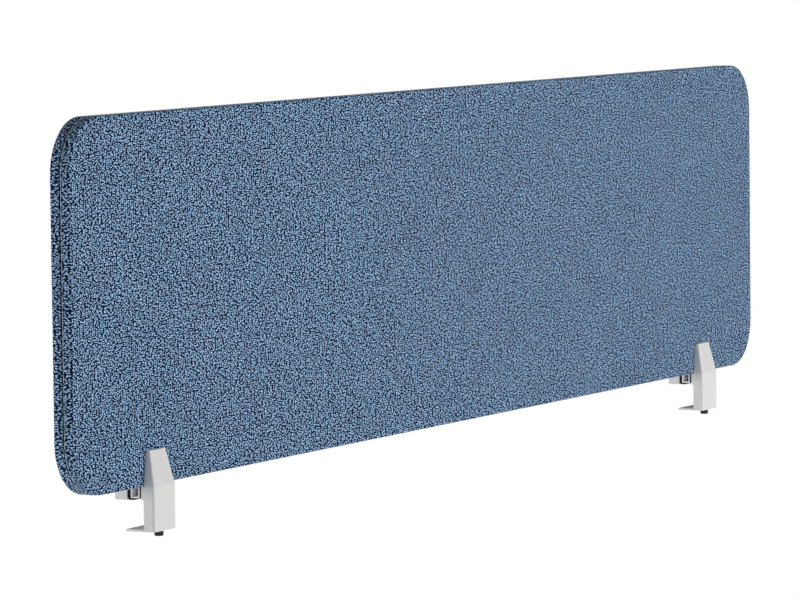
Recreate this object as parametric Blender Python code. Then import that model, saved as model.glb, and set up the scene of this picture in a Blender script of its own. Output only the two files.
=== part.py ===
"""Desk privacy panel: an upholstered screen on two clamp brackets.

Metres, +Z up. The panel's length runs along X, and its front faces -Y.

Everything is modelled in the panel's own space, where x = 0 is the middle of its length, y = 0 is the
plane between its two halves and z = 0 is its bottom edge. The empty "panel_space" then carries it all, so
that the world origin is the middle of the overall box, at its lowest point.
"""

import math

import bmesh
import bpy
from mathutils import Matrix

# ---------------------------------------------------------------------------
# Driving dimensions
# ---------------------------------------------------------------------------
GAP = 0.0003                    # left between pieces that touch

# Panel
PANEL_LENGTH = 1.800
PANEL_HEIGHT = 0.400
PANEL_THICKNESS = 0.024
CORNER_RADIUS = 0.060
CORNER_STEPS = 10               # segments in each rounded corner
FABRIC = 0.0010                 # thickness of the cover
FACE_EDGE_RADIUS = 0.0016       # where the cover turns from the face to the side
SEAM_EDGE_RADIUS = 0.0010       # where the cover turns in at the seam
SEAM_WIDTH = 0.0016
HEM_WIDTH = 0.014               # the part of the cover that is turned in
FOAM = 0.0020
FOAM_INSET = 0.0018             # foam's edge, measured in from the panel's outline
BOARD_INSET = 0.0013
SEAM_STRIP_DEPTH = 0.0008       # the strip starts this far in from the outline
SEAM_STRIP_WIDTH = 0.0100
DOWEL_RADIUS = 0.0040
DOWEL_LENGTH = 0.0100
DOWEL_PLAY = 0.0003
DOWEL_COLUMNS = (-0.62, 0.0, 0.62)
DOWEL_ROWS = (0.10, 0.30)

# Brackets
BRACKET_X = 0.730               # centre of a bracket from the middle of the panel
SHEET = 0.0020                  # thickness of the folded steel
FOLD_RADIUS = 0.0024            # outside radius of the folds
SHELL_WIDTH = 0.0470
SHELL_TOP_WIDTH = 0.0350
SHELL_TOP = 0.0385              # height above the panel's bottom edge
SHELL_STANDOFF = 0.0128         # cover plate's outer face in front of the panel's face
SHELL_TOP_STANDOFF = 0.0050
LEDGE_REACH = 0.0032            # how far the ledges go under the panel
SEAT_DROP = 0.0148              # desk top, below the panel's bottom edge
FRONT_SHELL_BOTTOM = -0.0487
DESK_STOP_SET_IN = 0.0004       # desk edge, behind the plane of the panel's front face

# Spacer between the shells, under the panel
SPACER_LENGTH = 0.0424
SPACER_DEPTH = 0.0108
SPACER_WALL = 0.0015
LINER = 0.0019
LINER_FOOT_DEPTH = 0.0065
LINER_FOOT_PROUD = 0.0002       # the rubber foot stands this far below the seat

# Tie bolts, M5
TIE_SPACING = 0.0200
TIE_RADIUS = 0.0025
TIE_HOLE_RADIUS = 0.0028
TIE_HEAD_RADIUS = 0.00475
TIE_HEAD_HEIGHT = 0.00275
TIE_SOCKET = 0.0030             # across flats
WELD_NUT = 0.0080               # across flats
WELD_NUT_HEIGHT = 0.0040

# Lower jaw
JAW_PLATE = 0.0025
JAW_TIP_FROM_COVER_PLATE = 0.0350
JAW_SIDE_PLAY = 0.0006
JAW_CHEEK_HEIGHT = 0.0180
JAW_CHEEK = 0.0023
JAW_CHEEK_CHAMFER = 0.0040

# Clamp screw, M6
SCREW_RADIUS = 0.0030
SCREW_HOLE_RADIUS = 0.0033
SCREW_HEAD_RADIUS = 0.0050
SCREW_HEAD_HEIGHT = 0.0059
SCREW_LENGTH = 0.0360
SCREW_SOCKET = 0.0050           # across flats
SCREW_SOCKET_DEPTH = 0.0030
SCREW_FROM_COVER_PLATE = 0.0082
CLAMP_NUT_WIDTH = 0.0180
CLAMP_NUT_DEPTH = 0.0097
CLAMP_NUT_TOP = -0.0150
CLAMP_NUT_HEIGHT = 0.0080
CLIP_HEIGHT = 0.0010
CLIP_RADIUS = 0.0054
CLIP_OPENING = math.radians(70)

ROUND_STEPS = 20                # segments round a screw or a hole
CUT_MARGIN = 0.0020             # how far a cutter runs past what it cuts

# ---------------------------------------------------------------------------
# Planes that follow from the sizes above
# ---------------------------------------------------------------------------
HALF_THICKNESS = PANEL_THICKNESS / 2
COVER_PLATE_Y = HALF_THICKNESS + SHELL_STANDOFF     # outer face, on either side of the panel
COVER_PLATE_TOP_Y = HALF_THICKNESS + SHELL_TOP_STANDOFF
LEDGE_Y = HALF_THICKNESS - LEDGE_REACH
DESK_STOP_Y = -HALF_THICKNESS + DESK_STOP_SET_IN
SPACER_TOP = -2 * GAP
SPACER_BOTTOM = -SEAT_DROP + LINER
TIE_Z = (SPACER_TOP + SPACER_BOTTOM) / 2
JAW_BOTTOM = FRONT_SHELL_BOTTOM
JAW_TOP = JAW_BOTTOM + JAW_PLATE
JAW_TIP_Y = -COVER_PLATE_Y + JAW_TIP_FROM_COVER_PLATE
SCREW_Y = -COVER_PLATE_Y + SCREW_FROM_COVER_PLATE
SCREW_HEAD_TOP = JAW_BOTTOM - GAP
SCREW_HEAD_BOTTOM = SCREW_HEAD_TOP - SCREW_HEAD_HEIGHT

# Where the overall box has its lowest point and its middle, in the panel's space
BOX_BOTTOM_Z = SCREW_HEAD_BOTTOM
BOX_MIDDLE_Y = (GAP + TIE_HEAD_HEIGHT) / 2

SIDES = {"left": -1, "right": 1}


# ---------------------------------------------------------------------------
# Materials
# ---------------------------------------------------------------------------
def material(name, colour, roughness, metallic=0.0):
    """One Principled material."""
    made = bpy.data.materials.new(name)
    made.use_nodes = True
    shader = made.node_tree.nodes["Principled BSDF"]
    shader.inputs["Base Color"].default_value = (*colour, 1.0)
    shader.inputs["Roughness"].default_value = roughness
    shader.inputs["Metallic"].default_value = metallic
    return made


FINISHES = {
    "fabric": ((0.10, 0.17, 0.28), 0.95, 0.0),
    "foam": ((0.75, 0.74, 0.68), 0.95, 0.0),
    "board": ((0.52, 0.40, 0.27), 0.80, 0.0),
    "dowel": ((0.70, 0.55, 0.36), 0.75, 0.0),
    "seam": ((0.012, 0.014, 0.020), 0.90, 0.0),
    "white_steel": ((0.78, 0.78, 0.77), 0.45, 0.0),
    "aluminium": ((0.72, 0.72, 0.74), 0.35, 1.0),
    "rubber": ((0.012, 0.012, 0.012), 0.85, 0.0),
    "black_steel": ((0.015, 0.015, 0.017), 0.40, 1.0),
    "zinc_steel": ((0.60, 0.61, 0.63), 0.35, 1.0),
}


# ---------------------------------------------------------------------------
# Mesh helpers
# ---------------------------------------------------------------------------
def mesh_object(name, build, finish):
    """Make one object: build(bm) fills a bmesh, and the faces are then turned outwards."""
    bm = bmesh.new()
    build(bm)
    bmesh.ops.recalc_face_normals(bm, faces=bm.faces)
    mesh = bpy.data.meshes.new(name)
    bm.to_mesh(mesh)
    bm.free()
    made = bpy.data.objects.new(name, mesh)
    bpy.context.collection.objects.link(made)
    colour, roughness, metallic = FINISHES[finish]
    made.data.materials.append(material(name + "_" + finish, colour, roughness, metallic))
    return made


def skin_rings(bm, rings):
    """Join closed rings of points with quads, and close the first and the last with a face."""
    rows = [[bm.verts.new(point) for point in ring] for ring in rings]
    count = len(rows[0])
    for row, following in zip(rows, rows[1:]):
        for i in range(count):
            j = (i + 1) % count
            bm.faces.new((row[i], row[j], following[j], following[i]))
    bm.faces.new(rows[0])
    bm.faces.new(reversed(rows[-1]))


def box(name, low, high, finish):
    """A box between two corners."""
    (x0, y0, z0), (x1, y1, z1) = low, high

    def build(bm):
        rings = [[(x0, y0, z), (x1, y0, z), (x1, y1, z), (x0, y1, z)] for z in (z0, z1)]
        skin_rings(bm, rings)

    return mesh_object(name, build, finish)


def circle(radius, steps=ROUND_STEPS, turn=0.0):
    """Points of a circle about (0, 0)."""
    angles = [turn + 2 * math.pi * i / steps for i in range(steps)]
    return [(radius * math.cos(a), radius * math.sin(a)) for a in angles]


def hexagon(across_flats):
    """Corners of a hexagon about (0, 0)."""
    return circle(across_flats / math.sqrt(3), steps=6)


def column(name, outline, low, high, finish, along="z", centre=(0.0, 0.0)):
    """A straight prism: outline in the plane across the axis, from low to high along it."""
    cu, cv = centre

    def place(u, v, w):
        return (u, w, v) if along == "y" else (u, v, w)

    def build(bm):
        rings = [[place(cu + u, cv + v, w) for u, v in outline] for w in (low, high)]
        skin_rings(bm, rings)

    return mesh_object(name, build, finish)


def cut(target, *cutters):
    """Take the cutters away from the target, and remove them."""
    for cutter in cutters:
        modifier = target.modifiers.new(cutter.name, "BOOLEAN")
        modifier.operation = "DIFFERENCE"
        modifier.object = cutter
    apply_modifiers(target)
    for cutter in cutters:
        bpy.data.objects.remove(cutter)


def join(target, *others):
    """Unite the others with the target, and remove them."""
    for other in others:
        modifier = target.modifiers.new(other.name, "BOOLEAN")
        modifier.operation = "UNION"
        modifier.object = other
    apply_modifiers(target)
    for other in others:
        bpy.data.objects.remove(other)


def apply_modifiers(target):
    """Keep the evaluated mesh as the object's own mesh, with its own single material."""
    kept = target.data.materials[0]
    evaluated = target.evaluated_get(bpy.context.evaluated_depsgraph_get())
    mesh = bpy.data.meshes.new_from_object(evaluated)
    target.modifiers.clear()
    target.data = mesh
    mesh.materials.clear()
    mesh.materials.append(kept)
    for polygon in mesh.polygons:
        polygon.material_index = 0


def smooth(target, angle=math.radians(40)):
    """Shade round surfaces smooth and keep the corners sharp."""
    target.data.shade_smooth()
    target.data.set_sharp_from_angle(angle=angle)


def hole(name, radius, low, high, along="z", centre=(0.0, 0.0)):
    """A round cutter."""
    return column(name, circle(radius), low, high, "rubber", along, centre)


# ---------------------------------------------------------------------------
# Panel
# ---------------------------------------------------------------------------
def panel_outline(inset, y):
    """The panel's rounded outline, moved in by inset, in the plane at y."""
    radius = CORNER_RADIUS - inset
    half_length = PANEL_LENGTH / 2 - CORNER_RADIUS
    corners = (
        (half_length, PANEL_HEIGHT - CORNER_RADIUS, 0),
        (-half_length, PANEL_HEIGHT - CORNER_RADIUS, 1),
        (-half_length, CORNER_RADIUS, 2),
        (half_length, CORNER_RADIUS, 3),
    )
    points = []
    for x, z, quarter in corners:
        for i in range(CORNER_STEPS + 1):
            angle = math.pi / 2 * (quarter + i / CORNER_STEPS)
            points.append((x + radius * math.cos(angle), y, z + radius * math.sin(angle)))
    return points


def arc(inset, depth, radius, start, end, steps=3):
    """Points of an arc in the cover's section, about a centre given as inset and depth."""
    angles = [start + (end - start) * i / steps for i in range(steps + 1)]
    return [(inset - radius * math.cos(a), depth - radius * math.sin(a)) for a in angles]


def cover_section():
    """Section of a cover as (inset, depth) pairs, from the middle of its face round to its inner side."""
    half = HALF_THICKNESS - SEAM_WIDTH / 2
    quarter = math.pi / 2
    outer_edge = arc(FACE_EDGE_RADIUS, FACE_EDGE_RADIUS, FACE_EDGE_RADIUS, quarter, 0)
    outer_seam = arc(SEAM_EDGE_RADIUS, half - SEAM_EDGE_RADIUS, SEAM_EDGE_RADIUS, 0, -quarter, steps=2)
    hem_end = [(HEM_WIDTH, half), (HEM_WIDTH, half - FABRIC)]
    inner_seam = [(FABRIC, half - FABRIC)]
    inner_radius = FACE_EDGE_RADIUS - FABRIC
    inner_edge = arc(FACE_EDGE_RADIUS, FACE_EDGE_RADIUS, inner_radius, 0, quarter)
    return outer_edge + outer_seam + hem_end + inner_seam + inner_edge


def panel_half(side, name):
    """Cover, foam and board of one half. side is -1 for the front and 1 for the rear."""
    face = HALF_THICKNESS

    def level(depth):
        return side * (face - depth)

    def build_cover(bm):
        skin_rings(bm, [panel_outline(inset, level(depth)) for inset, depth in cover_section()])

    def slab(inset, near, far):
        def build(bm):
            skin_rings(bm, [panel_outline(inset, level(depth)) for depth in (near, far)])
        return build

    foam_near = FABRIC + GAP
    foam_far = foam_near + FOAM
    board_near = foam_far + GAP
    board_far = face - SEAM_WIDTH / 2 - FABRIC - GAP
    cover = mesh_object(name + "_cover", build_cover, "fabric")
    smooth(cover)
    foam = mesh_object(name + "_foam", slab(FOAM_INSET, foam_near, foam_far), "foam")
    board = mesh_object(name + "_board", slab(BOARD_INSET, board_near, board_far), "board")
    reach = DOWEL_LENGTH / 2 + DOWEL_PLAY
    mouth = abs(level(board_far)) - CUT_MARGIN
    cutters = []
    for x, z in dowel_places():
        low, high = sorted((side * mouth, side * reach))
        radius = DOWEL_RADIUS + DOWEL_PLAY
        cutters.append(hole("cut_dowel", radius, low, high, "y", (x, z)))
    cut(board, *cutters)
    return [cover, foam, board]


def dowel_places():
    """Where the dowels are, as (x, z)."""
    return [(x, z) for z in DOWEL_ROWS for x in DOWEL_COLUMNS]


def seam_strip():
    """The dark strip at the bottom of the seam, all round the panel."""
    reach = SEAM_WIDTH / 2 - GAP
    inner = SEAM_STRIP_DEPTH + SEAM_STRIP_WIDTH
    section = ((SEAM_STRIP_DEPTH, -reach), (SEAM_STRIP_DEPTH, reach), (inner, reach), (inner, -reach))

    def build(bm):
        rows = [[bm.verts.new(p) for p in panel_outline(inset, y)] for inset, y in section]
        count = len(rows[0])
        for row, following in zip(rows, rows[1:] + rows[:1]):
            for i in range(count):
                j = (i + 1) % count
                bm.faces.new((row[i], row[j], following[j], following[i]))

    return mesh_object("seam_strip", build, "seam")


def build_panel():
    """All the pieces of the upholstered panel."""
    pieces = panel_half(-1, "front") + panel_half(1, "rear") + [seam_strip()]
    for number, (x, z) in enumerate(dowel_places(), start=1):
        name = "panel_dowel_" + str(number)
        reach = DOWEL_LENGTH / 2
        dowel = column(name, circle(DOWEL_RADIUS), -reach, reach, "dowel", "y", (x, z))
        smooth(dowel)
        pieces.append(dowel)
    return pieces


# ---------------------------------------------------------------------------
# Brackets: shells
# ---------------------------------------------------------------------------
def shell_section(side, z, width, plate_y, back_y, radius, steps=4):
    """A level section of a shell's block, with the two corners at the cover plate rounded."""
    half = width / 2
    corner_y = plate_y - radius
    points = [(half, side * back_y, z)]
    for i in range(steps + 1):
        angle = math.pi / 2 * i / steps
        x = half - radius + radius * math.cos(angle)
        y = corner_y + radius * math.sin(angle)
        points.append((x, side * y, z))
    mirrored = [(-x, y, z) for x, y, z in reversed(points)]
    return points + mirrored


def shell_block(name, side, stations, back_y, radius):
    """A solid through level sections, given as (height, width, cover plate's y)."""
    def build(bm):
        skin_rings(bm, [shell_section(side, z, w, y, back_y, radius) for z, w, y in stations])

    return mesh_object(name, build, "white_steel")


def shell(name, side, bottom, cavity_bottom):
    """A folded steel shell: a block, hollowed out, with room for the panel."""
    stations = (
        (bottom, SHELL_WIDTH, COVER_PLATE_Y),
        (0.0, SHELL_WIDTH, COVER_PLATE_Y),
        (SHELL_TOP, SHELL_TOP_WIDTH, COVER_PLATE_TOP_Y),
    )
    top_share = (SHELL_TOP - SHEET) / SHELL_TOP
    cavity_top_width = SHELL_WIDTH + (SHELL_TOP_WIDTH - SHELL_WIDTH) * top_share
    cavity_top_y = COVER_PLATE_Y + (COVER_PLATE_TOP_Y - COVER_PLATE_Y) * top_share
    cavity_stations = (
        (cavity_bottom, SHELL_WIDTH - 2 * SHEET, COVER_PLATE_Y - SHEET),
        (0.0, SHELL_WIDTH - 2 * SHEET, COVER_PLATE_Y - SHEET),
        (SHELL_TOP - SHEET, cavity_top_width - 2 * SHEET, cavity_top_y - SHEET),
    )
    body = shell_block(name, side, stations, LEDGE_Y, FOLD_RADIUS)
    inner_radius = FOLD_RADIUS - SHEET
    cavity = shell_block("cut_cavity", side, cavity_stations, 0.0, inner_radius)
    near, far = sorted((side * (HALF_THICKNESS + GAP), 0.0))
    reach = SHELL_WIDTH
    panel_room = box("cut_panel", (-reach, near, -GAP), (reach, far, 2 * SHELL_TOP), "rubber")
    cut(body, cavity, panel_room)
    return body


def front_shell(name):
    """Front shell: reaches down over the desk's edge, and its flanges stop the desk."""
    body = shell(name, -1, FRONT_SHELL_BOTTOM, FRONT_SHELL_BOTTOM - CUT_MARGIN)
    reach = SHELL_WIDTH
    low = (-reach, DESK_STOP_Y, FRONT_SHELL_BOTTOM - CUT_MARGIN)
    cut(body, box("cut_desk", low, (reach, 0.0, -SEAT_DROP), "rubber"))
    smooth(body)
    return body


def rear_shell(name):
    """Rear shell: stands on the desk, with holes for the tie bolts."""
    body = shell(name, 1, -SEAT_DROP, -SEAT_DROP + SHEET)
    low = COVER_PLATE_Y - SHEET - CUT_MARGIN
    high = COVER_PLATE_Y + CUT_MARGIN
    cut(body, *tie_holes(low, high))
    smooth(body)
    return body


# ---------------------------------------------------------------------------
# Brackets: spacer and tie bolts
# ---------------------------------------------------------------------------
def tie_places():
    """Across the bracket, where the two tie bolts are."""
    return {"a": -TIE_SPACING / 2, "b": TIE_SPACING / 2}


def tie_holes(low, high):
    """Cutters for the two tie bolts, from low to high along Y."""
    return [hole("cut_tie", TIE_HOLE_RADIUS, low, high, "y", (x, TIE_Z)) for x in tie_places().values()]


def extrusion(name, outline, length, finish):
    """A section in Y and Z, drawn as (y, z), run along X and centred."""
    def build(bm):
        skin_rings(bm, [[(x, y, z) for y, z in outline] for x in (-length / 2, length / 2)])

    return mesh_object(name, build, finish)


def rectangle(y0, y1, z0, z1):
    """Corners of a rectangle as (y, z)."""
    return [(y0, z0), (y1, z0), (y1, z1), (y0, z1)]


def spacer_tube(name):
    """The square tube between the shells, open at both ends."""
    half = SPACER_DEPTH / 2
    wall = SPACER_WALL
    tube = extrusion(name, rectangle(-half, half, SPACER_BOTTOM, SPACER_TOP), SPACER_LENGTH, "aluminium")
    inside = rectangle(-half + wall, half - wall, SPACER_BOTTOM + wall, SPACER_TOP - wall)
    bore = extrusion("cut_bore", inside, SPACER_LENGTH + 2 * CUT_MARGIN, "rubber")
    cut(tube, bore, *tie_holes(-half - CUT_MARGIN, half + CUT_MARGIN))
    return tube


def front_liner(name):
    """The rubber strip between the spacer and the front shell's ledges."""
    near = -SPACER_DEPTH / 2 - GAP
    far = near - LINER
    strip = extrusion(name, rectangle(far, near, SPACER_BOTTOM, SPACER_TOP), SPACER_LENGTH, "rubber")
    cut(strip, *tie_holes(far - CUT_MARGIN, near + CUT_MARGIN))
    return strip


def rear_liner(name):
    """The rubber angle behind the spacer, whose foot goes under it and rests on the desk."""
    near = SPACER_DEPTH / 2 + GAP
    far = near + LINER
    foot_top = SPACER_BOTTOM - GAP
    foot_bottom = -SEAT_DROP - LINER_FOOT_PROUD
    foot_y = far - LINER_FOOT_DEPTH
    outline = [
        (far, foot_bottom),
        (far, SPACER_TOP),
        (near, SPACER_TOP),
        (near, foot_top),
        (foot_y, foot_top),
        (foot_y, foot_bottom),
    ]
    angle = extrusion(name, outline, SPACER_LENGTH, "rubber")
    cut(angle, *tie_holes(near - CUT_MARGIN, far + CUT_MARGIN))
    return angle


def turned(name, profile, finish, along="z", centre=(0.0, 0.0), flip=1):
    """A round solid from (radius, position along the axis) pairs, first and last closed by a face."""
    cu, cv = centre

    def place(u, v, w):
        return (cu + u, flip * w, cv + v) if along == "y" else (cu + u, cv + v, flip * w)

    def build(bm):
        skin_rings(bm, [[place(u, v, w) for u, v in circle(r)] for r, w in profile])

    return mesh_object(name, build, finish)


def tie_bolt(name, x):
    """M5 button-head bolt, from behind."""
    seat = COVER_PLATE_Y + GAP
    top = seat + TIE_HEAD_HEIGHT
    tip = -COVER_PLATE_Y + SHEET + 2 * GAP
    point = 0.0006
    profile = [
        (TIE_RADIUS - point, tip),
        (TIE_RADIUS, tip + point),
        (TIE_RADIUS, seat),
        (TIE_HEAD_RADIUS, seat),
        (TIE_HEAD_RADIUS, seat + 0.15 * TIE_HEAD_HEIGHT),
        (TIE_HEAD_RADIUS * 0.93, seat + 0.50 * TIE_HEAD_HEIGHT),
        (TIE_HEAD_RADIUS * 0.77, seat + 0.82 * TIE_HEAD_HEIGHT),
        (TIE_HEAD_RADIUS * 0.55, top),
    ]
    bolt = turned(name, profile, "zinc_steel", "y", (x, TIE_Z))
    depth = TIE_HEAD_HEIGHT * 0.55
    cut(bolt, column("cut_socket", hexagon(TIE_SOCKET), top - depth, top + CUT_MARGIN, "rubber",
                     "y", (x, TIE_Z)))
    smooth(bolt)
    return bolt


def weld_nut(name, x):
    """Hexagon nut welded to the inside of the front cover plate."""
    near = -COVER_PLATE_Y + SHEET + GAP
    far = near + WELD_NUT_HEIGHT
    nut = column(name, hexagon(WELD_NUT), near, far, "zinc_steel", "y", (x, TIE_Z))
    cut(nut, hole("cut_nut", TIE_HOLE_RADIUS, near - CUT_MARGIN, far + CUT_MARGIN, "y", (x, TIE_Z)))
    smooth(nut)
    return nut


# ---------------------------------------------------------------------------
# Brackets: the clamp
# ---------------------------------------------------------------------------
def clamp_nut(name):
    """Threaded block inside the front shell, which the clamp screw turns in."""
    near = -COVER_PLATE_Y + SHEET + GAP
    half = CLAMP_NUT_WIDTH / 2
    bottom = CLAMP_NUT_TOP - CLAMP_NUT_HEIGHT
    block = box(name, (-half, near, bottom), (half, near + CLAMP_NUT_DEPTH, CLAMP_NUT_TOP), "zinc_steel")
    low = bottom - CUT_MARGIN
    high = CLAMP_NUT_TOP + CUT_MARGIN
    cut(block, hole("cut_nut", SCREW_HOLE_RADIUS, low, high, "z", (0.0, SCREW_Y)))
    smooth(block)
    return block


def lower_jaw(name):
    """The sliding jaw: tongue under the desk, and two cheeks that run inside the shell's flanges."""
    inner_half = SHELL_WIDTH / 2 - SHEET - JAW_SIDE_PLAY
    outer_half = SHELL_WIDTH / 2
    front = -COVER_PLATE_Y + SHEET + GAP
    step = DESK_STOP_Y + GAP
    right_side = [(inner_half, front), (inner_half, step), (outer_half, step), (outer_half, JAW_TIP_Y)]
    outline = right_side + [(-x, y) for x, y in reversed(right_side)]
    tongue = column(name, outline, JAW_BOTTOM, JAW_TOP, "white_steel")
    cheeks = []
    bottom = (JAW_BOTTOM + JAW_TOP) / 2
    top = JAW_TOP + JAW_CHEEK_HEIGHT
    back = step - GAP
    cheek_outline = [
        (front, bottom),
        (back, bottom),
        (back, top - JAW_CHEEK_CHAMFER),
        (back - JAW_CHEEK_CHAMFER, top),
        (front, top),
    ]
    for side in SIDES.values():
        cheek = extrusion("cheek", cheek_outline, JAW_CHEEK, "white_steel")
        cheek.data.transform(Matrix.Translation((side * (inner_half - JAW_CHEEK / 2), 0.0, 0.0)))
        cheeks.append(cheek)
    join(tongue, *cheeks)
    low = JAW_BOTTOM - CUT_MARGIN
    high = JAW_TOP + CUT_MARGIN
    cut(tongue, hole("cut_screw", SCREW_HOLE_RADIUS, low, high, "z", (0.0, SCREW_Y)))
    smooth(tongue)
    return tongue


def clamp_screw(name):
    """M6 socket-head screw, head down. Its axis is its own origin's Z axis."""
    chamfer = 0.0005
    profile = [
        (SCREW_HEAD_RADIUS - chamfer, SCREW_HEAD_BOTTOM),
        (SCREW_HEAD_RADIUS, SCREW_HEAD_BOTTOM + chamfer),
        (SCREW_HEAD_RADIUS, SCREW_HEAD_TOP),
        (SCREW_RADIUS, SCREW_HEAD_TOP),
        (SCREW_RADIUS, SCREW_HEAD_TOP + SCREW_LENGTH - 2 * chamfer),
        (SCREW_RADIUS - 2 * chamfer, SCREW_HEAD_TOP + SCREW_LENGTH),
    ]
    screw = turned(name, profile, "black_steel")
    low = SCREW_HEAD_BOTTOM - CUT_MARGIN
    high = SCREW_HEAD_BOTTOM + SCREW_SOCKET_DEPTH
    cut(screw, column("cut_socket", hexagon(SCREW_SOCKET), low, high, "rubber"))
    smooth(screw)
    return screw


def screw_clip(name):
    """Open spring ring on the screw, just above the jaw's tongue."""
    low = JAW_TOP + GAP
    high = low + CLIP_HEIGHT
    steps = ROUND_STEPS
    span = 2 * math.pi - CLIP_OPENING
    angles = [CLIP_OPENING / 2 + span * i / steps for i in range(steps + 1)]
    outer = [(CLIP_RADIUS * math.cos(a), CLIP_RADIUS * math.sin(a)) for a in angles]
    inner = [(SCREW_HOLE_RADIUS * math.cos(a), SCREW_HOLE_RADIUS * math.sin(a)) for a in reversed(angles)]
    clip = column(name, outer + inner, low, high, "zinc_steel")
    smooth(clip)
    return clip


def build_bracket(side_name, space):
    """All the pieces of one bracket, each parented to the panel's space."""
    def named(piece):
        return side_name + "_" + piece

    x = SIDES[side_name] * BRACKET_X
    pieces = [
        front_shell(named("front_shell")),
        rear_shell(named("rear_shell")),
        spacer_tube(named("spacer_tube")),
        front_liner(named("front_liner")),
        rear_liner(named("rear_liner")),
        clamp_nut(named("clamp_nut")),
        lower_jaw(named("lower_jaw")),
    ]
    for letter, offset in tie_places().items():
        pieces.append(tie_bolt(named("tie_bolt_" + letter), offset))
        pieces.append(weld_nut(named("weld_nut_" + letter), offset))
    for piece in pieces:
        piece.parent = space
        piece.location = (x, 0.0, 0.0)
    for piece in (clamp_screw(named("clamp_screw")), screw_clip(named("screw_clip"))):
        piece.parent = space
        piece.location = (x, SCREW_Y, 0.0)


def main():
    """Build the whole panel from an empty scene."""
    for existing in list(bpy.data.objects):
        bpy.data.objects.remove(existing)
    space = bpy.data.objects.new("panel_space", None)
    bpy.context.collection.objects.link(space)
    space.location = (0.0, -BOX_MIDDLE_Y, -BOX_BOTTOM_Z)
    for piece in build_panel():
        piece.parent = space
    for side_name in SIDES:
        build_bracket(side_name, space)


main()
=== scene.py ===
"""Desk privacy panel: an upholstered screen on two clamp brackets, dressed for a studio picture.

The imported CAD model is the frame. Its metal and rubber parts stay and get finishes. Its plain fabric covers,
padding and screws are replaced by detailed pieces built here. Metres, +Z up, the panel's front faces -Y.
"""

import math

import bmesh
import bpy
from mathutils import Matrix, Vector, noise


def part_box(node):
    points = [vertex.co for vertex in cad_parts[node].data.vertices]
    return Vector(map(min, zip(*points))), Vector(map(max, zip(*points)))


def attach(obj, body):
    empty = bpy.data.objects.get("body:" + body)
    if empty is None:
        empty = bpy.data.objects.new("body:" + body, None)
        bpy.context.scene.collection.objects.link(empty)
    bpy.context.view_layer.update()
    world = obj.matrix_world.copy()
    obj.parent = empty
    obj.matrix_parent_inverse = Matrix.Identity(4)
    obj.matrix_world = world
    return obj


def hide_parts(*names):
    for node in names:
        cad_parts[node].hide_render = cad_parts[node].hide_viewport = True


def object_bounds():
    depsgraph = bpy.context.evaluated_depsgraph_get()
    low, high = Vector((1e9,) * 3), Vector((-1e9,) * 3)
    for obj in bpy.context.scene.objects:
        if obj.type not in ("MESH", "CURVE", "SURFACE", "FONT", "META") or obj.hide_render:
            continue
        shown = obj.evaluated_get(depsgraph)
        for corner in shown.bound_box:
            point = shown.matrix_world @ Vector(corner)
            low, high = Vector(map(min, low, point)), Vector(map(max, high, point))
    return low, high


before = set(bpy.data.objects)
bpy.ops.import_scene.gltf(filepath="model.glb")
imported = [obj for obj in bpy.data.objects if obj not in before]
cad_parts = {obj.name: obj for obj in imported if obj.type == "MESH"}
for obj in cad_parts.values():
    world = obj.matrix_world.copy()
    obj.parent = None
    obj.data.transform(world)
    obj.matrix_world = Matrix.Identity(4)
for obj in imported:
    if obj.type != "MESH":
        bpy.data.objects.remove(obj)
CAD_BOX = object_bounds()

MM = 0.001
SIDES = ("left", "right")
HALVES = {"front": -1, "rear": 1}           # the way each half's face looks along Y

# Camera
CAMERA_PLACE = Vector((-5.6884, -2.8297, 0.6704))
CAMERA_AZIMUTH = math.radians(63.079)       # from +Y towards +X
CAMERA_TILT = math.radians(4.215)           # below the horizon
CAMERA_ROLL = math.radians(-0.671)
CAMERA_LENS = 239.91                        # mm
SENSOR_WIDTH = 36                           # mm

# Studio
FLOOR_DROP = 0.6
FLOOR_REACH = 150.0
FLOOR_LIGHT = 0.8                           # what the floor lends to the object; the camera sees it white
WORLD_LIGHT = 0.12                          # and the air above it
KEY_LIGHT = ((1.3, -5.5, 1.2), (2.8, 2.0), 190)         # place, size and watts
BACK_LIGHT = ((-2.4, 3.4, 0.9), (2.0, 1.6), 88)

# Panel
CORNER_RADIUS = 60 * MM
CORNER_STEPS = 12
COLUMNS = 120
MIDDLE_ROWS = 28
FACE_EDGE_RADIUS = 1.6 * MM
FACE_EDGE_STEPS = 5
SIDE_STEPS = 4
SEAM_EDGE_RADIUS = 1.1 * MM
SEAM_EDGE_STEPS = 5
HEM_WIDTH = 14 * MM
HEM_STEPS = 3
CLOTH_THICKNESS = 0.9 * MM
FOAM_EDGE_ROUND = 0.5 * MM
WAVE_HEIGHT = 0.12 * MM                     # how far the stretched cloth wanders in and out
WAVE_LENGTH = 90 * MM
WAVE_LAYER = 3.7                            # which slice of the noise it follows
RIPPLE_SHARE = 0.4                          # a shorter wave on top of it
RIPPLE_QUICKNESS = 3.1
RIPPLE_LAYER = 9.2
EDGING_RADIUS = 0.36 * MM                   # pale edging thread along the front half's seam
EDGING_TURN = math.radians(20)              # how far round the seam's edge it lies
EDGING_TWIST = 2.6 * MM
EDGING_SIDES = 8
STITCH_LENGTH = 5 * MM
DOWELS = 6

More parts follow.
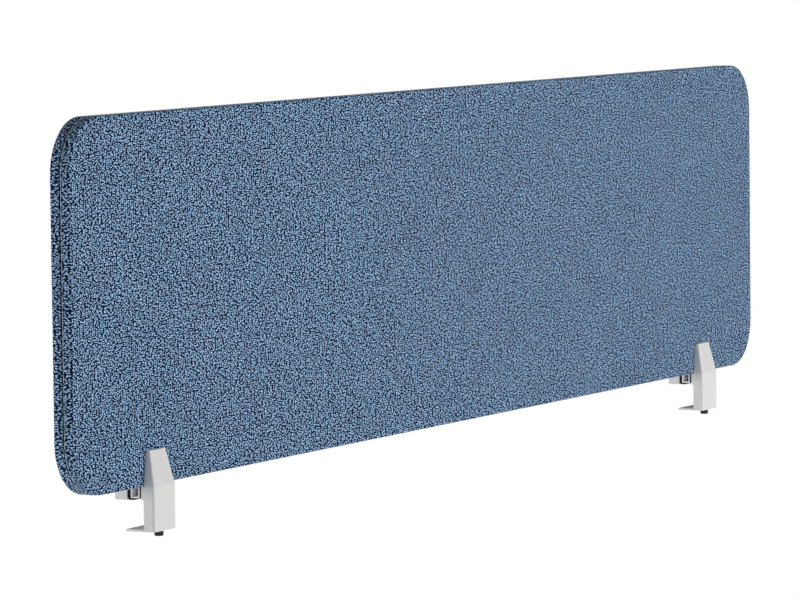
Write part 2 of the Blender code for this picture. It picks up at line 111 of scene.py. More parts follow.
# Cloth
CLOTH_START = {                             # where each half is cut from the roll
    "front": Vector((0, 0, 0)),
    "rear": Vector((2.3, 0, 1.7)),
}
FLECK_LENGTH = 4.2 * MM                     # spacing of the cloth's light flecks, along and up
FLECK_HEIGHT = 1.9 * MM
FLECK_SCATTER = 0.85                        # how far they lie from an even grid
FLECK_BEND_SCALE = 0.9                      # and how they are pushed about, in flecks
FLECK_BEND = 0.6
FLECK_SPREAD = 0.08                         # how much one fleck's tone differs from another's
FUZZ_SPREAD = 0.45                          # and how much its fibres do
FLECK_SHADE_AND_HIGHLIGHT_TONES = [                             # tones from painted shade in the gaps, through the dark yarn ground, to pale yarn with a painted highlight on the loop tops
    (0.60, (0.000, 0.005, 0.026)),
    (0.72, (0.056, 0.158, 0.350)),
    (0.83, (0.500, 0.745, 1.000)),
]
LOOP_RISE = 0.7                             # shares of the loops and their fibres in the cloth's relief
FUZZ_RISE = 0.3
MOTTLE_GRAIN = (9, 9, 14)                   # repeats to a metre
FUZZ_GRAIN = (1500, 1500, 2600)
FIBRE_GRAIN = (1900, 1900, 5200)

# Broken edges of the CAD nodes that stay
STEEL_BREAK = 0.25 * MM
RUBBER_BREAK = 0.2 * MM
TUBE_BREAK = 0.15 * MM
BREAK_SEGMENTS = 2
BREAK_ANGLE = math.radians(40)
WELD_REACH = 1e-6

# Screws: (radius, radius at the bottom of the thread, pitch)
M6 = (3.0 * MM, 2.45 * MM, 1.0 * MM)
M5 = (2.5 * MM, 2.06 * MM, 0.8 * MM)
ROWS_PER_PITCH = 8
THREAD_END = 1.2 * MM                       # how far from each end the thread fades out
GROOVE_TOP = 1.25                           # the groove over a pitch: a flat root between sloping flanks
GROOVE_SLOPE = 1.5
CAP_RADIUS = 5 * MM
CAP_HEIGHT = 5.9 * MM
CAP_CHAMFER = 0.6 * MM
CAP_SOCKET_FLAT = 2.5 * MM                  # from the axis to a flat
CAP_SOCKET_DEPTH = 3 * MM
KNURL_DEPTH = 0.16 * MM
BUTTON_RADIUS = 4.75 * MM
BUTTON_HEIGHT = 2.75 * MM
BUTTON_RIM = 0.4 * MM                       # upright edge below the dome
BUTTON_SOCKET_FLAT = 1.5 * MM
BUTTON_SOCKET_DEPTH = 1.5 * MM
SOCKET_BREAK = 0.15 * MM                    # broken edge round a socket
DOME_ANGLE = math.radians(56.6)             # how far the dome curves from its rim to the socket
DOME_STEPS = 8
HEAD_SIDES = 72
SHANK_SIDES = 36
SHARP_ANGLE = math.radians(24)              # edges that turn further than this stay sharp


# ---------------------------------------------------------------------------
# Mesh helpers
# ---------------------------------------------------------------------------
def new_object(name, bm, material, smooth=True):
    """A linked object made from bm, with every face smooth or flat."""
    mesh = bpy.data.meshes.new(name)
    for face in bm.faces:
        face.smooth = smooth
    bm.to_mesh(mesh)
    bm.free()
    mesh.materials.append(material)
    obj = bpy.data.objects.new(name, mesh)
    bpy.context.scene.collection.objects.link(obj)
    return obj


def join_rings(bm, rings):
    """Fills between each ring of vertices and the next."""
    for low, high in zip(rings, rings[1:]):
        for i in range(len(low)):
            j = (i + 1) % len(low)
            bm.faces.new((low[i], low[j], high[j], high[i]))


def row_places(height, radius):
    """(z, inward shift of the row's ends, angle of the outline's normal) for each row, bottom to top."""
    rows = []
    for i in range(CORNER_STEPS + 1):
        angle = -math.pi / 2 + math.pi / 2 * i / CORNER_STEPS
        rows.append((-height / 2 + radius + radius * math.sin(angle), radius * (1 - math.cos(angle)), angle))
    straight = height - 2 * radius
    for i in range(1, MIDDLE_ROWS):
        rows.append((-straight / 2 + straight * i / MIDDLE_ROWS, 0.0, 0.0))
    for i in range(CORNER_STEPS + 1):
        angle = math.pi / 2 * i / CORNER_STEPS
        rows.append((height / 2 - radius + radius * math.sin(angle), radius * (1 - math.cos(angle)), angle))
    return rows


def face_grid(bm, length, height, radius):
    """A flat grid in XZ that fills a rounded rectangle. Returns its edge as (vertex, outward direction)."""
    rows = []
    angles = []
    for z, shift, angle in row_places(height, radius):
        reach = length / 2 - shift
        rows.append([bm.verts.new((-reach + 2 * reach * i / COLUMNS, 0, z)) for i in range(COLUMNS + 1)])
        angles.append(angle)
    for low, high in zip(rows, rows[1:]):
        for i in range(COLUMNS):
            bm.faces.new((low[i], low[i + 1], high[i + 1], high[i]))
    edge = [(vert, Vector((0, 0, -1))) for vert in rows[0][1:-1]]
    edge += [(row[-1], Vector((math.cos(a), 0, math.sin(a)))) for row, a in zip(rows, angles)]
    edge += [(vert, Vector((0, 0, 1))) for vert in reversed(rows[-1][1:-1])]
    edge += [(row[0], Vector((-math.cos(a), 0, math.sin(a)))) for row, a in zip(rows[::-1], angles[::-1])]
    return edge


def wrap_profile(depth):
    """(inset from the outline, depth behind the face) of each ring of cloth, from the face to the hem."""
    rings = []
    for i in range(1, FACE_EDGE_STEPS + 1):
        angle = math.pi / 2 * i / FACE_EDGE_STEPS
        rings.append((FACE_EDGE_RADIUS * (1 - math.sin(angle)), FACE_EDGE_RADIUS * (1 - math.cos(angle))))
    wall = depth - FACE_EDGE_RADIUS - SEAM_EDGE_RADIUS
    for i in range(1, SIDE_STEPS + 1):
        rings.append((0.0, FACE_EDGE_RADIUS + wall * i / SIDE_STEPS))
    for i in range(1, SEAM_EDGE_STEPS + 1):
        angle = math.pi / 2 * i / SEAM_EDGE_STEPS
        drop = SEAM_EDGE_RADIUS * (1 - math.sin(angle))
        rings.append((SEAM_EDGE_RADIUS * (1 - math.cos(angle)), depth - drop))
    for i in range(1, HEM_STEPS + 1):
        rings.append((SEAM_EDGE_RADIUS + (HEM_WIDTH - SEAM_EDGE_RADIUS) * i / HEM_STEPS, depth))
    return rings


def cloth_wave(place):
    """How far the cloth stands in from its plain shape at a place on the cut cloth."""
    x = place.x / WAVE_LENGTH
    z = place.z / WAVE_LENGTH
    wave = noise.noise(Vector((x, WAVE_LAYER, z)))
    ripple = noise.noise(Vector((x * RIPPLE_QUICKNESS, RIPPLE_LAYER, z * RIPPLE_QUICKNESS)))
    return WAVE_HEIGHT * (1 + wave + RIPPLE_SHARE * ripple)


def turn_outward(bm, facing):
    """Turns all faces so that the first, which lies on the half's face, looks the way the half does."""
    bmesh.ops.recalc_face_normals(bm, faces=bm.faces[:])
    bm.faces.ensure_lookup_table()
    if bm.faces[0].normal.y * facing < 0:
        bmesh.ops.reverse_faces(bm, faces=bm.faces[:])


# ---------------------------------------------------------------------------
# Materials
# ---------------------------------------------------------------------------
def grey(value):
    return (value, value, value)


class Nodes:
    """Short calls for building a material's node tree."""

    def __init__(self, name):
        self.material = bpy.data.materials.new(name)
        self.material.use_nodes = True
        self.tree = self.material.node_tree
        self.shader = self.tree.nodes["Principled BSDF"]

    def add(self, kind, **settings):
        node = self.tree.nodes.new("ShaderNode" + kind)
        for key, value in settings.items():
            setattr(node, key, value)
        return node

    def link(self, source, target):
        self.tree.links.new(source, target)

    def value(self, node, name, value):
        """Sets an input, or links it when value is another node's output."""
        socket = node.inputs[name]
        if isinstance(value, bpy.types.NodeSocket):
            self.link(value, socket)
        else:
            socket.default_value = value

    def math(self, operation, a, b=0.0, clamp=False):
        node = self.add("Math", operation=operation, use_clamp=clamp)
        self.value(node, 0, a)
        self.value(node, 1, b)
        return node.outputs[0]

    def scaled(self, source, scale):
        """Coordinates, each multiplied by its own scale."""
        node = self.add("VectorMath", operation="MULTIPLY")
        self.link(source, node.inputs[0])
        node.inputs[1].default_value = scale
        return node.outputs[0]

    def noise(self, coordinates, scale=1.0, detail=2.0, roughness=0.5):
        node = self.add("TexNoise")
        self.link(coordinates, node.inputs["Vector"])
        node.inputs["Scale"].default_value = scale
        node.inputs["Detail"].default_value = detail
        node.inputs["Roughness"].default_value = roughness
        return node.outputs["Fac"]

    def cells(self, coordinates, scale):
        """How far each point is from the nearest of some scattered ones."""
        node = self.add("TexVoronoi")
        self.link(coordinates, node.inputs["Vector"])
        node.inputs["Scale"].default_value = scale
        return node.outputs["Distance"]

    def ramp(self, factor, stops):
        """A colour that runs through stops of (position, colour)."""
        node = self.add("ValToRGB")
        elements = node.color_ramp.elements
        while len(elements) < len(stops):
            elements.new(0.5)
        for element, (position, colour) in zip(elements, stops):
            element.position = position
            element.color = (*colour, 1)
        self.link(factor, node.inputs[0])
        return node.outputs[0]

    def multiplied(self, a, b):
        """One colour times another."""
        node = self.add("Mix", data_type="RGBA", blend_type="MULTIPLY")
        node.inputs[0].default_value = 1.0
        self.link(a, node.inputs[6])
        self.link(b, node.inputs[7])
        return node.outputs[2]

    def bump(self, height, strength, distance):
        node = self.add("Bump")
        node.inputs["Strength"].default_value = strength
        node.inputs["Distance"].default_value = distance
        self.link(height, node.inputs["Height"])
        return node.outputs[0]

    def finish(self, **sockets):
        """Sets the shader's inputs; an underscore in a name stands for a space."""
        for name, value in sockets.items():
            self.value(self.shader, name.replace("_", " "), value)
        return self.material


def object_place(nodes):
    return nodes.add("TexCoord").outputs["Object"]


def melange_cloth():
    """Blue melange upholstery: pale boucle loops with a painted highlight on their tops and painted shade in
    the gaps between them, with a soft nap.
    """
    nodes = Nodes("melange_cloth")
    place = nodes.add("Attribute", attribute_name="cloth").outputs["Vector"]

    # Flecks: one pale loop of yarn to a cell, lightest at its middle as a painted highlight, with painted
    # shade where neighbouring loops meet.
    axes = nodes.add("SeparateXYZ")
    nodes.link(place, axes.inputs[0])
    flat = nodes.add("CombineXYZ")
    nodes.link(nodes.math("DIVIDE", axes.outputs["X"], FLECK_LENGTH), flat.inputs["X"])
    nodes.link(nodes.math("DIVIDE", axes.outputs["Z"], FLECK_HEIGHT), flat.inputs["Y"])
    wander = nodes.add("TexNoise", noise_dimensions="2D")
    nodes.link(flat.outputs[0], wander.inputs["Vector"])
    wander.inputs["Scale"].default_value = FLECK_BEND_SCALE
    wander.inputs["Detail"].default_value = 1.0
    bent = nodes.add("VectorMath", operation="MULTIPLY_ADD")
    nodes.link(wander.outputs["Color"], bent.inputs[0])
    bent.inputs[1].default_value = (FLECK_BEND, FLECK_BEND, 0)
    nodes.link(flat.outputs[0], bent.inputs[2])
    flecks = nodes.add("TexVoronoi", voronoi_dimensions="2D")
    nodes.link(bent.outputs[0], flecks.inputs["Vector"])
    flecks.inputs["Scale"].default_value = 1.0
    flecks.inputs["Randomness"].default_value = FLECK_SCATTER
    own = nodes.add("SeparateColor")
    nodes.link(flecks.outputs["Color"], own.inputs[0])
    loop = nodes.math("SUBTRACT", 1.0, flecks.outputs["Distance"], clamp=True)
    fuzz = nodes.noise(nodes.scaled(place, FUZZ_GRAIN), detail=3.0, roughness=0.6)
    tone = nodes.math("ADD", loop, nodes.math("MULTIPLY", own.outputs[0], FLECK_SPREAD))
    tone = nodes.math("ADD", tone, nodes.math("MULTIPLY", nodes.math("SUBTRACT", fuzz, 0.5), FUZZ_SPREAD))
    # The yarn's own blues, with painted shade in the gaps and a painted highlight on the loop tops.
    shade = nodes.ramp(tone, FLECK_SHADE_AND_HIGHLIGHT_TONES)
    mottle = nodes.noise(nodes.scaled(place, MOTTLE_GRAIN), detail=3.0)
    cloud = nodes.ramp(mottle, [(0.3, grey(0.96)), (0.7, grey(1.04))])
    colour = nodes.multiplied(shade, cloud)
    fibres = nodes.noise(nodes.scaled(place, FIBRE_GRAIN), detail=3.0, roughness=0.7)
    strands = nodes.ramp(fibres, [(0.32, grey(0.68)), (0.66, grey(1.20))])
    colour = nodes.multiplied(colour, strands)

    loops = nodes.math("MULTIPLY", loop, LOOP_RISE)
    height = nodes.math("ADD", loops, nodes.math("MULTIPLY", fuzz, FUZZ_RISE))
    return nodes.finish(
        Base_Color=colour,
        Roughness=0.92,
        Specular_IOR_Level=0.15,
        Sheen_Weight=0.05,
        Sheen_Roughness=0.45,
        Sheen_Tint=(0.75, 0.85, 1.0, 1),
        Normal=nodes.bump(height, strength=0.3, distance=0.4 * MM),
    )


def pale_thread():
    """Two-ply thread in pale blue, with its twist as slanting hollows darkened by painted shade, that dips in
    and out of the nap.
    """
    nodes = Nodes("pale_thread")
    place = nodes.add("SeparateXYZ")
    nodes.link(nodes.add("Attribute", attribute_name="cloth").outputs["Vector"], place.inputs[0])
    along = nodes.math("MULTIPLY", place.outputs["X"], 2 * math.pi / EDGING_TWIST)
    wave = nodes.math("SINE", nodes.math("ADD", along, place.outputs["Z"]))
    # Painted shade in the twist's hollows, pale blue on the plies.
    tint = nodes.ramp(nodes.math("ADD", wave, 1.0), [(0.15, (0.30, 0.40, 0.55)), (0.75, (0.82, 0.92, 1.00))])
    length = nodes.add("CombineXYZ")
    nodes.link(nodes.math("DIVIDE", place.outputs["X"], STITCH_LENGTH), length.inputs["X"])
    stitch = nodes.noise(length.outputs[0], detail=1.0)
    sunk = nodes.ramp(stitch, [(0.42, (0.22, 0.30, 0.42)), (0.50, (1, 1, 1))])
    return nodes.finish(
        Base_Color=nodes.multiplied(tint, sunk),
        Roughness=0.7,
        Specular_IOR_Level=0.2,
        Normal=nodes.bump(wave, strength=0.5, distance=0.3 * MM),
    )


def padding_foam():
    """Open-cell polyether padding, off-white with fine pores darkened by painted shade."""
    nodes = Nodes("padding_foam")
    place = object_place(nodes)
    pores = nodes.cells(place, scale=900)
    cloud = nodes.noise(place, scale=14, detail=3.0)
    tint = nodes.ramp(cloud, [(0.3, (0.70, 0.68, 0.60)), (0.7, (0.80, 0.79, 0.73))])
    # Painted shade inside the pores.
    pore_shade = nodes.ramp(pores, [(0.1, (0.55, 0.53, 0.46)), (0.35, (1, 1, 1))])
    return nodes.finish(
        Base_Color=nodes.multiplied(tint, pore_shade),
        Roughness=0.95,
        Normal=nodes.bump(pores, strength=0.6, distance=0.6 * MM),
    )


def fibreboard():
    """Raw medium-density fibreboard: pale brown with scattered darker fibres."""
    nodes = Nodes("fibreboard")
    place = object_place(nodes)
    fibres = nodes.noise(nodes.scaled(place, (900, 900, 260)), detail=4.0, roughness=0.7)
    cloud = nodes.noise(place, scale=9, detail=3.0)
    body = nodes.ramp(cloud, [(0.3, (0.38, 0.27, 0.17)), (0.7, (0.47, 0.35, 0.23))])
    flecks = nodes.ramp(fibres, [(0.30, (0.62, 0.58, 0.52)), (0.62, (1.12, 1.10, 1.06))])
    return nodes.finish(
        Base_Color=nodes.multiplied(body, flecks),
        Roughness=0.85,
        Normal=nodes.bump(fibres, strength=0.35, distance=0.2 * MM),
    )


def beech():
    """Plain beech dowel with short grain along the pin."""
    nodes = Nodes("beech")
    place = object_place(nodes)
    grain = nodes.noise(nodes.scaled(place, (900, 60, 900)), detail=3.0)
    tint = nodes.ramp(grain, [(0.3, (0.48, 0.31, 0.17)), (0.7, (0.66, 0.48, 0.30))])
    return nodes.finish(
        Base_Color=tint,
        Roughness=0.7,
        Normal=nodes.bump(grain, strength=0.3, distance=0.1 * MM),
    )


def powder_coat():
    """White fine-texture powder coat on folded steel."""
    nodes = Nodes("white_powder_coat")
    place = object_place(nodes)
    grain = nodes.noise(place, scale=1500, detail=3.0, roughness=0.6)
    cloud = nodes.noise(place, scale=30, detail=3.0)
    tint = nodes.ramp(cloud, [(0.3, (0.725, 0.725, 0.720)), (0.7, (0.755, 0.755, 0.750))])
    gloss = nodes.ramp(grain, [(0.3, grey(0.40)), (0.7, grey(0.55))])
    return nodes.finish(
        Base_Color=tint,
        Roughness=gloss,
        Specular_IOR_Level=0.45,
        Normal=nodes.bump(grain, strength=0.12, distance=0.10 * MM),
    )


def drawn_aluminium():
    """Plain drawn tube: lengthways die lines and a soft oxide bloom."""
    nodes = Nodes("drawn_aluminium")
    place = object_place(nodes)
    lines = nodes.noise(nodes.scaled(place, (12, 2600, 2600)), detail=2.0)
    tint = nodes.ramp(lines, [(0.3, grey(0.88)), (0.7, grey(0.94))])
    bloom = nodes.noise(place, scale=140, detail=3.0)
    gloss = nodes.ramp(bloom, [(0.3, grey(0.34)), (0.7, grey(0.50))])
    return nodes.finish(
        Base_Color=tint,
        Metallic=0.0,
        Roughness=gloss,
        Normal=nodes.bump(lines, strength=0.2, distance=0.05 * MM),
    )


def black_rubber():
    """Matt black rubber with a faint moulded grain and dust in it."""
    nodes = Nodes("black_rubber")
    place = object_place(nodes)
    grain = nodes.noise(place, scale=1800, detail=3.0, roughness=0.6)
    tint = nodes.ramp(grain, [(0.35, (0.010, 0.010, 0.011)), (0.75, (0.030, 0.030, 0.031))])
    return nodes.finish(
        Base_Color=tint,
        Roughness=0.82,
        Specular_IOR_Level=0.35,
        Normal=nodes.bump(grain, strength=0.3, distance=0.1 * MM),
    )


def seam_shadow_strip():
    """Matt black woven strip at the bottom of the seam, a dark sheet that stands in for the seam's shadow as
    painted shade.
    """
    nodes = Nodes("seam_shadow_strip")
    place = object_place(nodes)
    weave = nodes.cells(place, scale=1400)
    tint = nodes.ramp(weave, [(0.1, (0.016, 0.018, 0.024)), (0.6, (0.005, 0.006, 0.009))])
    return nodes.finish(
        Base_Color=tint,
        Roughness=0.95,
        Specular_IOR_Level=0.08,
        Normal=nodes.bump(weave, strength=0.4, distance=0.2 * MM),
    )


def zinc_plate():
    """Bright zinc on steel: fine brushing and a blue-grey bloom."""
    nodes = Nodes("zinc_plate")
    place = object_place(nodes)
    brushed = nodes.noise(nodes.scaled(place, (300, 2400, 2400)), detail=2.0)
    bloom = nodes.noise(place, scale=220, detail=3.0)
    tint = nodes.ramp(bloom, [(0.3, (0.50, 0.52, 0.56)), (0.7, (0.66, 0.67, 0.68))])
    gloss = nodes.ramp(brushed, [(0.3, grey(0.24)), (0.7, grey(0.42))])
    return nodes.finish(
        Base_Color=tint,
        Metallic=1.0,
        Roughness=gloss,
        Normal=nodes.bump(brushed, strength=0.25, distance=0.05 * MM),
    )


def black_oxide():
    """Black-oxide steel: near black, oily, rubbed a little brighter on high spots."""
    nodes = Nodes("black_oxide")
    place = object_place(nodes)
    rub = nodes.noise(place, scale=420, detail=4.0, roughness=0.6)
    tint = nodes.ramp(rub, [(0.4, (0.012, 0.012, 0.014)), (0.75, (0.045, 0.045, 0.048))])
    gloss = nodes.ramp(rub, [(0.3, grey(0.24)), (0.7, grey(0.40))])
    return nodes.finish(
        Base_Color=tint,
        Metallic=0.6,
        Roughness=gloss,
        Normal=nodes.bump(rub, strength=0.15, distance=0.05 * MM),
    )


# ---------------------------------------------------------------------------
# Fabric and padding
# ---------------------------------------------------------------------------
def fabric_cover(half, cloth):
    """One half's cover: a sheet stretched over the face, round its edge and in at the seam.

    Returns it and the size of the rectangle that it is cut from.
    """
    facing = HALVES[half]
    low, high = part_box(half + "_cover")
    length = high.x - low.x
    height = high.z - low.z
    middle = Vector(((low.x + high.x) / 2, 0, (low.z + high.z) / 2))
    face_y = low.y if facing < 0 else high.y
    depth = high.y - low.y
    inset = FACE_EDGE_RADIUS

    bm = bmesh.new()
    layer = bm.verts.layers.float_vector.new("cloth")
    edge = face_grid(bm, length - 2 * inset, height - 2 * inset, CORNER_RADIUS - inset)
    for vert in bm.verts:
        vert[layer] = vert.co
    last = [vert for vert, _ in edge]
    run = 0.0
    before = (inset, 0.0)
    for ring in wrap_profile(depth):
        run += math.dist(ring, before)
        before = ring
        now = []
        for start, out in edge:
            vert = bm.verts.new(start.co + out * (inset - ring[0]) + Vector((0, ring[1], 0)))
            vert[layer] = start.co + out * run
            now.append(vert)
        join_rings(bm, (last, now))
        last = now
    for vert in bm.verts:
        on_face = max(0.0, 1 - vert.co.y / FACE_EDGE_RADIUS)
        vert.co.y += cloth_wave(vert[layer]) * on_face
        vert[layer] += CLOTH_START[half]
        vert.co = Vector((vert.co.x, face_y - facing * vert.co.y, vert.co.z)) + middle
    turn_outward(bm, facing)
    cover = new_object(half + "_fabric", bm, cloth)
    skin = cover.modifiers.new("cloth thickness", "SOLIDIFY")
    skin.thickness = CLOTH_THICKNESS
    skin.offset = -1
    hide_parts(half + "_cover")
    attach(cover, "panel")
    wrapped = 2 * (run - inset)
    return cover, (length + wrapped, height + wrapped)


def edging_thread(thread):
    """A fine thread along the outside of the front half's seam edge."""
    low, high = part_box("front_cover")
    reach = SEAM_EDGE_RADIUS + EDGING_RADIUS * 0.5
    inset = SEAM_EDGE_RADIUS - reach * math.cos(EDGING_TURN)
    back = high.y - SEAM_EDGE_RADIUS + reach * math.sin(EDGING_TURN)
    middle = Vector(((low.x + high.x) / 2, back, (low.z + high.z) / 2))
    guide = bmesh.new()
    edge = face_grid(guide, high.x - low.x - 2 * inset, high.z - low.z - 2 * inset, CORNER_RADIUS - inset)
    line = [(start.co + middle, out) for start, out in edge]
    guide.free()

    bm = bmesh.new()
    layer = bm.verts.layers.float_vector.new("cloth")
    rings = []
    run = 0.0
    for i, (centre, out) in enumerate(line):
        if i:
            run += (centre - line[i - 1][0]).length
        ring = []
        for k in range(EDGING_SIDES):
            turn = 2 * math.pi * k / EDGING_SIDES
            offset = EDGING_RADIUS * (out * math.cos(turn) + Vector((0, math.sin(turn), 0)))
            vert = bm.verts.new(centre + offset)
            vert[layer] = (run, 0, turn)
            ring.append(vert)
        rings.append(ring)
    join_rings(bm, rings + rings[:1])
    bmesh.ops.recalc_face_normals(bm, faces=bm.faces[:])
    trim = new_object("front_edging_thread", bm, thread)
    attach(trim, "panel")
    return trim


def padding(half, foam):
    """The thin foam under one half's cover: a slab with softly rounded edges."""
    low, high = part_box(half + "_foam")
    cover_low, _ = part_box(half + "_cover")
    length, depth, height = high - low
    radius = CORNER_RADIUS - (low.x - cover_low.x)
    inset = FOAM_EDGE_ROUND
    bm = bmesh.new()
    top = face_grid(bm, length - 2 * inset, height - 2 * inset, radius - inset)
    on_top = len(bm.verts)
    bottom = face_grid(bm, length - 2 * inset, height - 2 * inset, radius - inset)
    for vert in list(bm.verts)[on_top:]:
        vert.co.y = depth
    rings = [[vert for vert, _ in top]]
    for y in (inset, depth - inset):
        rings.append([bm.verts.new(start.co + out * inset + Vector((0, y, 0))) for start, out in top])
    rings.append([vert for vert, _ in bottom])
    join_rings(bm, rings)
    middle = (low + high) / 2
    for vert in bm.verts:
        vert.co += Vector((middle.x, low.y, middle.z))
    bmesh.ops.recalc_face_normals(bm, faces=bm.faces[:])
    pad = new_object(half + "_padding", bm, foam)
    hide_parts(half + "_foam")
    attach(pad, "panel")
    return pad


# ---------------------------------------------------------------------------
# Screws, each built along +Z from the outer face of its head
# ---------------------------------------------------------------------------
def hexagon(flat):
    """A ring's radius along a hexagon, as a function of the vertex's number and angle."""
    sixth = math.pi / 3
    return lambda i, turn: flat / math.cos(turn % sixth - sixth / 2)


def circle(radius):
    """A ring's radius along a circle, called in the same way."""
    return lambda i, turn: radius


def ring_of(bm, z, sides, radius_at):
    """A ring of vertices round the Z axis."""
    ring = []
    for i in range(sides):
        turn = 2 * math.pi * i / sides
        radius = radius_at(i, turn)
        ring.append(bm.verts.new((radius * math.cos(turn), radius * math.sin(turn), z)))
    return ring


def socket_places(flat, depth):
    """Rings of a hexagon socket, from its bottom to its broken edge."""
    return [(depth, hexagon(flat)), (SOCKET_BREAK, hexagon(flat)), (0, hexagon(flat + SOCKET_BREAK))]


def cap_head():
    """Rings of the clamp screw's cap head: a knurl between two plain margins."""
    plain = circle(CAP_RADIUS - KNURL_DEPTH)

    def knurl(i, turn):
        return CAP_RADIUS - KNURL_DEPTH * (i % 2)

    return socket_places(CAP_SOCKET_FLAT, CAP_SOCKET_DEPTH) + [
        (0, circle(CAP_RADIUS - CAP_CHAMFER)),
        (CAP_CHAMFER, plain),
        (CAP_CHAMFER + KNURL_DEPTH, knurl),
        (CAP_HEIGHT - CAP_CHAMFER - KNURL_DEPTH, knurl),
        (CAP_HEIGHT - CAP_CHAMFER, plain),
        (CAP_HEIGHT - 0.5 * KNURL_DEPTH, plain),
        (CAP_HEIGHT, circle(CAP_RADIUS - 2 * KNURL_DEPTH)),
    ]


def button_head():
    """Rings of a tie bolt's domed button head."""
    places = socket_places(BUTTON_SOCKET_FLAT, BUTTON_SOCKET_DEPTH)
    rise = BUTTON_HEIGHT - BUTTON_RIM
    for k in range(DOME_STEPS + 1):
        turn = DOME_ANGLE * (1 - k / DOME_STEPS)
        z = rise * (1 - math.sin(turn) / math.sin(DOME_ANGLE))
        places.append((z, circle(BUTTON_RADIUS * math.cos(turn))))
    places.append((BUTTON_HEIGHT, circle(BUTTON_RADIUS)))
    return places


def thread_places(low, high, radius, root, pitch):
    """Rings of a shank with a helical thread that fades out at the head and at the chamfered tip."""
    rows = round((high - low) / pitch * ROWS_PER_PITCH)
    places = []
    for row in range(rows + 1):
        z = low + (high - low) * row / rows
        depth = (radius - root) * min(1.0, (z - low) / THREAD_END)
        taper = (radius - root) * max(0.0, 1 - (high - z) / THREAD_END)

        def radius_at(i, turn, z=z, depth=depth, taper=taper):
            phase = (z / pitch - turn / (2 * math.pi)) % 1.0
            groove = min(1.0, max(0.0, GROOVE_TOP - GROOVE_SLOPE * abs(2 * phase - 1)))
            return radius - max(depth * groove, taper)

        places.append((z, radius_at))
    return places


def screw(name, head, length, radius, root, pitch, material):
    """One closed screw: socket, head, underface, threaded shank and tip."""
    bm = bmesh.new()
    crown = [ring_of(bm, z, HEAD_SIDES, radius_at) for z, radius_at in head]
    shank = [
        ring_of(bm, z, SHANK_SIDES, radius_at)
        for z, radius_at in thread_places(head[-1][0], length, radius, root, pitch)
    ]
    bm.faces.new(crown[0])
    join_rings(bm, crown)
    step = HEAD_SIDES // SHANK_SIDES
    rim, neck = crown[-1], shank[0]
    for i in range(SHANK_SIDES):
        outer = [rim[(i * step + k) % HEAD_SIDES] for k in range(step + 1)]
        bm.faces.new(outer + [neck[(i + 1) % SHANK_SIDES], neck[i]])
    join_rings(bm, shank)
    bm.faces.new(shank[-1])
    bmesh.ops.recalc_face_normals(bm, faces=bm.faces[:])
    obj = new_object(name, bm, material)
    obj.data.set_sharp_from_angle(angle=SHARP_ANGLE)
    return obj


def clamp_screw(side, oxide):
    """A knurled cap screw, standing head down, in place of the plain one."""
    node = side + "_clamp_screw"
    low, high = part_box(node)
    middle = (low + high) / 2
    obj = screw(side + "_threaded_screw", cap_head(), high.z - low.z, *M6, oxide)
    obj.data.transform(Matrix.Translation((middle.x, middle.y, low.z)))
    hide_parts(node)
    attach(obj, side + "_screw")


def tie_bolt(side, which, zinc):
    """A button-head bolt, put in from the back, in place of the plain one."""
    node = f"{side}_tie_bolt_{which}"
    low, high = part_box(node)
    middle = (low + high) / 2
    obj = screw(f"{side}_button_bolt_{which}", button_head(), high.y - low.y, *M5, zinc)
    forwards = Matrix.Rotation(math.pi / 2, 4, "X")
    obj.data.transform(Matrix.Translation((middle.x, high.y, middle.z)) @ forwards)
    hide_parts(node)
    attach(obj, "panel")


# ---------------------------------------------------------------------------
# Studio
# ---------------------------------------------------------------------------
def make_camera():
    """The scene's camera, placed and turned by the values at the top."""
    forward = Vector((
        math.sin(CAMERA_AZIMUTH) * math.cos(CAMERA_TILT),
        math.cos(CAMERA_AZIMUTH) * math.cos(CAMERA_TILT),
        -math.sin(CAMERA_TILT),
    ))
    level = forward.cross(Vector((0, 0, 1))).normalized()
    above = level.cross(forward)
    right = math.cos(CAMERA_ROLL) * level + math.sin(CAMERA_ROLL) * above
    up = right.cross(forward)
    data = bpy.data.cameras.new("camera")
    data.lens = CAMERA_LENS
    data.sensor_width = SENSOR_WIDTH
    data.clip_end = 4 * FLOOR_REACH
    camera = bpy.data.objects.new("camera", data)
    bpy.context.scene.collection.objects.link(camera)
    turn = Matrix((right, up, -forward)).transposed()
    camera.matrix_world = Matrix.Translation(CAMERA_PLACE) @ turn.to_4x4()
    bpy.context.scene.camera = camera


def lends(tree, light):
    """A strength of 1 towards the camera, so that the studio is plain white, and light towards all else."""
    path = tree.nodes.new("ShaderNodeLightPath")
    strength = tree.nodes.new("ShaderNodeMapRange")
    strength.inputs["To Min"].default_value = light
    strength.inputs["To Max"].default_value = 1.0
    tree.links.new(path.outputs["Is Camera Ray"], strength.inputs["Value"])
    return strength.outputs["Result"]


def make_floor(low):
    """A very wide white floor that glows evenly, so that no shadow falls on it."""
    material = bpy.data.materials.new("studio_floor")
    material.use_nodes = True
    tree = material.node_tree
    tree.nodes.remove(tree.nodes["Principled BSDF"])
    glow = tree.nodes.new("ShaderNodeEmission")
    tree.links.new(lends(tree, FLOOR_LIGHT), glow.inputs["Strength"])
    tree.links.new(glow.outputs[0], tree.nodes["Material Output"].inputs["Surface"])
    bm = bmesh.new()
    bmesh.ops.create_grid(bm, x_segments=2, y_segments=2, size=FLOOR_REACH)
    floor = new_object("studio_floor", bm, material, smooth=False)
    floor.location.z = low.z - FLOOR_DROP


def make_world():
    """Dim even air for the object, with plain white behind it."""
    world = bpy.data.worlds.new("studio")
    world.use_nodes = True
    tree = world.node_tree
    background = tree.nodes["Background"]
    background.inputs["Color"].default_value = (1, 1, 1, 1)
    tree.links.new(lends(tree, WORLD_LIGHT), background.inputs["Strength"])
    bpy.context.scene.world = world


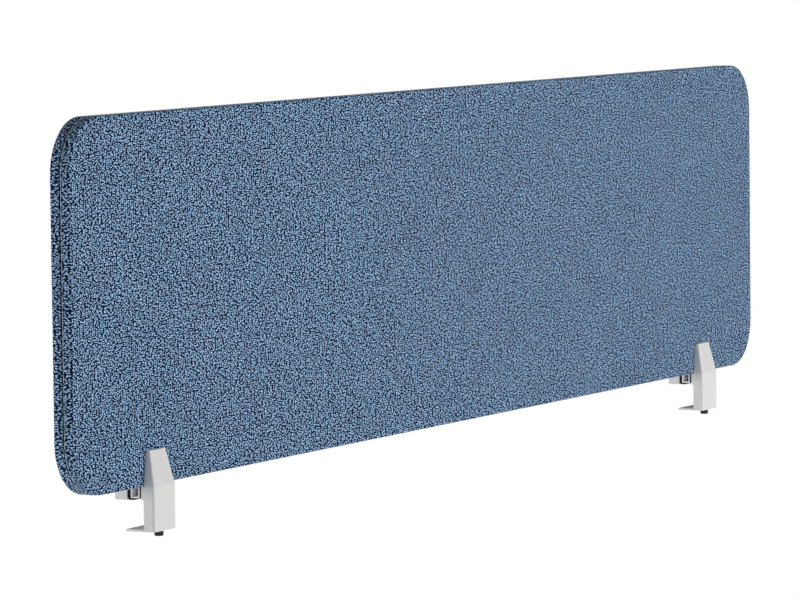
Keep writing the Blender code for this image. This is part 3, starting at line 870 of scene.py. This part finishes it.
def area_light(name, target, place, size, watts):
    """A rectangular light at place that looks at target."""
    data = bpy.data.lights.new(name, "AREA")
    data.shape = "RECTANGLE"
    data.size, data.size_y = size
    data.energy = watts
    light = bpy.data.objects.new(name, data)
    bpy.context.scene.collection.objects.link(light)
    light.location = place
    light.rotation_mode = "QUATERNION"
    light.rotation_quaternion = (target - Vector(place)).to_track_quat("-Z", "Y")


def make_studio():
    low, high = CAD_BOX
    middle = (low + high) / 2
    make_world()
    make_floor(low)
    area_light("key", middle, *KEY_LIGHT)
    area_light("back", middle, *BACK_LIGHT)
    bpy.context.scene.view_settings.view_transform = "Standard"


# ---------------------------------------------------------------------------
# The object
# ---------------------------------------------------------------------------
def paint(node, material, round_by=0.0):
    """Gives a CAD node its finish, and softens its sharp edges where round_by is set."""
    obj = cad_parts[node]
    obj.data.materials.clear()
    obj.data.materials.append(material)
    if round_by:
        weld = obj.modifiers.new("weld", "WELD")
        weld.merge_threshold = WELD_REACH
        edge = obj.modifiers.new("broken edge", "BEVEL")
        edge.width = round_by
        edge.segments = BREAK_SEGMENTS
        edge.limit_method = "ANGLE"
        edge.angle_limit = BREAK_ANGLE
        edge.harden_normals = True


def finish_hardware():
    steel = powder_coat()
    rubber = black_rubber()
    zinc = zinc_plate()
    tube = drawn_aluminium()
    oxide = black_oxide()
    for side in SIDES:
        for part in ("front_shell", "rear_shell", "lower_jaw"):
            paint(f"{side}_{part}", steel, STEEL_BREAK)
        for part in ("front_liner", "rear_liner"):
            paint(f"{side}_{part}", rubber, RUBBER_BREAK)
        for part in ("clamp_nut", "weld_nut_a", "weld_nut_b", "screw_clip"):
            paint(f"{side}_{part}", zinc)
        for which in "ab":
            tie_bolt(side, which, zinc)
        paint(f"{side}_spacer_tube", tube, TUBE_BREAK)
        clamp_screw(side, oxide)


def finish_panel():
    cloth = melange_cloth()
    foam = padding_foam()
    board = fibreboard()
    for half in HALVES:
        pad = padding(half, foam)
        cover, flat = fabric_cover(half, cloth)
        trim = [edging_thread(pale_thread())] if half == "front" else []
        paint(half + "_board", board)
    wood = beech()
    for i in range(DOWELS):
        paint(f"panel_dowel_{i + 1}", wood)
    # The seam strip is black as painted shade in the seam.
    paint("seam_strip", seam_shadow_strip())


make_camera()
make_studio()
finish_panel()
finish_hardware()
